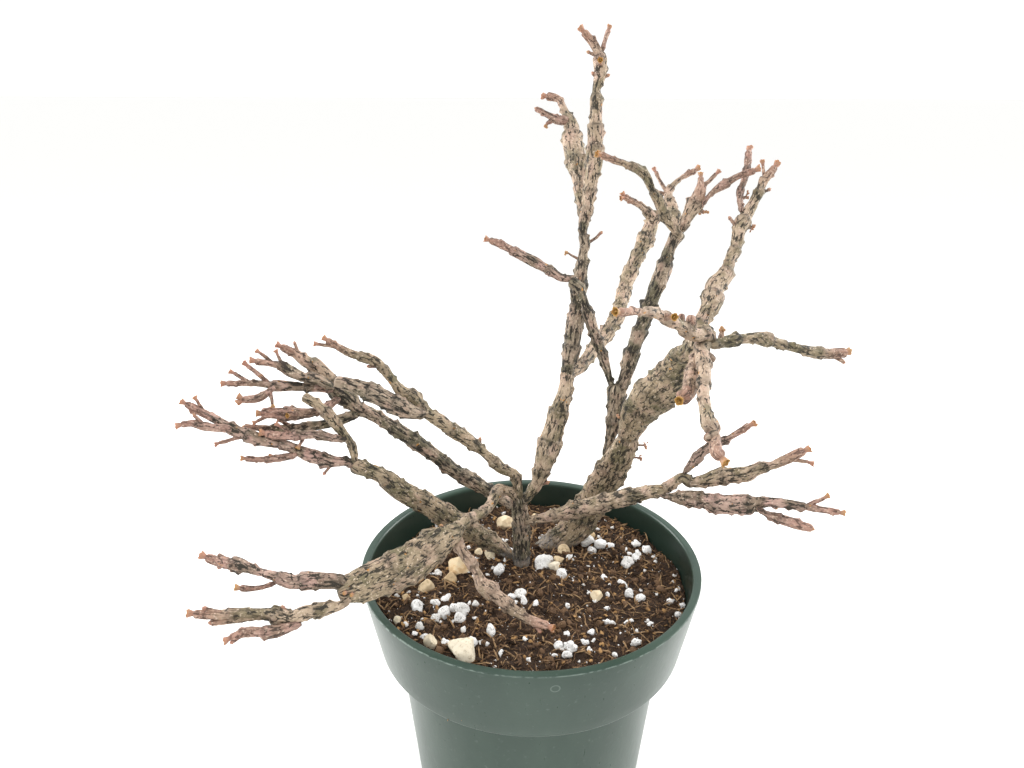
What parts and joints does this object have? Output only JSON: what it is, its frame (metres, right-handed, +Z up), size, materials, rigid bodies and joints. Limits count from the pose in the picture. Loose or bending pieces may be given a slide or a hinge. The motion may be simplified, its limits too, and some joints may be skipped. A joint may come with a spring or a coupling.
{
  "type": "potted euphorbia",
  "caption": "Leafless euphorbia with jointed, flattened, mottled stems, standing in gritty mix in a plain round green nursery pot.",
  "frame": {"origin": "centre of the pot's underside", "axes": "+Z up along the pot's axis, -Y towards the plant's best side, +X to the right seen from there"},
  "size_m": [0.178, 0.1473, 0.2464],
  "materials": {
    "pot_plastic": "satin",
    "potting_mix": "rough",
    "stem_bark": "dry, mottled and slightly waxy",
    "young_stem": "dry, slightly waxy",
    "tan_stone": "rough",
    "pale_stone": "rough",
    "perlite": "rough"
  },
  "bodies": {
    "root": {"pot": "pot_plastic", "soil": "potting_mix", "trunk": "stem_bark", "leader_lower": "stem_bark", "leader_middle": "stem_bark", "leader_upper": "stem_bark", "leader_tip": "young_stem", "leader_blade": "stem_bark", "blade_twig": "young_stem", "back_stem": "stem_bark", "second_trunk": "stem_bark", "broad_stem": "stem_bark", "fork_stem": "stem_bark", "fork_left_lower": "stem_bark", "fork_left_upper": "stem_bark", "fork_right": "stem_bark", "fork_near_arm": "stem_bark", "fork_far_arm": "stem_bark", "fork_wedge": "stem_bark", "wedge_branch": "young_stem", "high_stem": "stem_bark", "high_twig": "young_stem", "near_arm_left": "stem_bark", "near_stub": "young_stem", "near_drop": "stem_bark", "near_arm_right": "stem_bark", "right_branch": "stem_bark", "right_upper": "stem_bark", "right_upper_twig": "stem_bark", "right_lower": "stem_bark", "right_lower_tip": "stem_bark", "left_high": "stem_bark", "left_high_wedge": "stem_bark", "left_middle": "stem_bark", "left_low": "stem_bark", "left_low_rise": "stem_bark", "left_low_side": "stem_bark", "left_end": "stem_bark", "left_end_side": "young_stem", "left_end_low": "young_stem", "middle_back": "stem_bark", "middle_low": "stem_bark", "middle_mid": "stem_bark", "middle_mid_tip": "young_stem", "middle_high": "stem_bark", "middle_high_tip": "stem_bark", "front_branch": "stem_bark", "front_broad": "stem_bark", "front_upper": "stem_bark", "front_upper_twig": "young_stem", "front_lower": "stem_bark", "front_lower_under": "young_stem", "front_drop": "stem_bark", "stone_tan": "tan_stone", "stone_cream": "pale_stone", "stone_grey": "pale_stone", "stone_back": "pale_stone", "stone_front": "pale_stone", "perlite_left": "perlite"}
  },
  "joints": []
}
